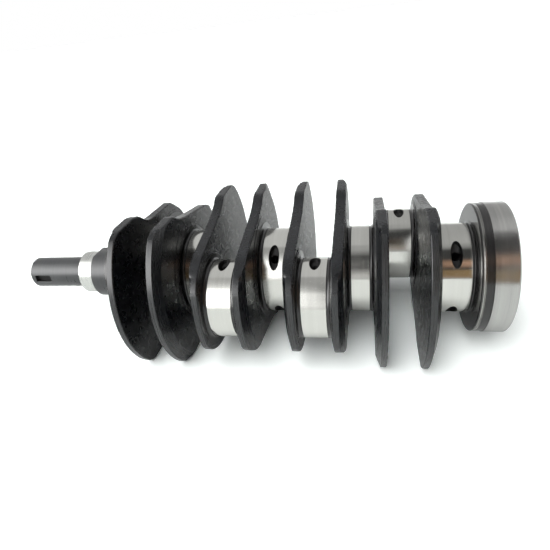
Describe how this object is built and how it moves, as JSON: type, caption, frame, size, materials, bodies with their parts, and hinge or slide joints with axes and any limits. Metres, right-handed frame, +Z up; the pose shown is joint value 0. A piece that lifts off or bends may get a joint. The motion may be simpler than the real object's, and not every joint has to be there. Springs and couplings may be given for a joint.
{
  "type": "crankshaft",
  "caption": "Forged crankshaft of a flat-four engine, with ground main journals and crankpins, thin dark webs with counterweights, a keyed nose and a rear flywheel flange.",
  "frame": {"origin": "on the axis of rotation, halfway along the shaft, at the centre of its bounding box", "axes": "+X along the axis of rotation from the nose to the rear flange, +Y towards the first and last crankpins, +Z up and square to the plane of the throws, with the shaft lying on the flat sides of its webs"},
  "size_m": [0.349, 0.1362, 0.103],
  "materials": {
    "nitrided_forging": "dark nitrided forging, satin to glossy, faintly mottled",
    "journal_ground": "ground and polished round the axis, mirror-like along it",
    "nose_satin": "satin turned steel, slightly dark",
    "seal_ground": "bright ground seal land",
    "flange_ground": "polished seal land with a dark unground band in front"
  },
  "bodies": {
    "root": {"nose_shaft": "nose_satin", "front_seal_collar": "seal_ground", "pump_drive_collar": "nose_satin", "main_journal_1": "journal_ground", "web_1": "nitrided_forging", "crankpin_1": "journal_ground", "web_2": "nitrided_forging", "main_journal_2": "journal_ground", "web_3": "nitrided_forging", "crankpin_2": "journal_ground", "web_4": "nitrided_forging", "main_journal_3": "journal_ground", "web_5": "nitrided_forging", "crankpin_3": "journal_ground", "web_6": "nitrided_forging", "main_journal_4": "journal_ground", "web_7": "nitrided_forging", "crankpin_4": "journal_ground", "web_8": "nitrided_forging", "main_journal_5": "journal_ground", "rear_neck": "nitrided_forging", "rear_flange": "flange_ground"}
  },
  "joints": []
}
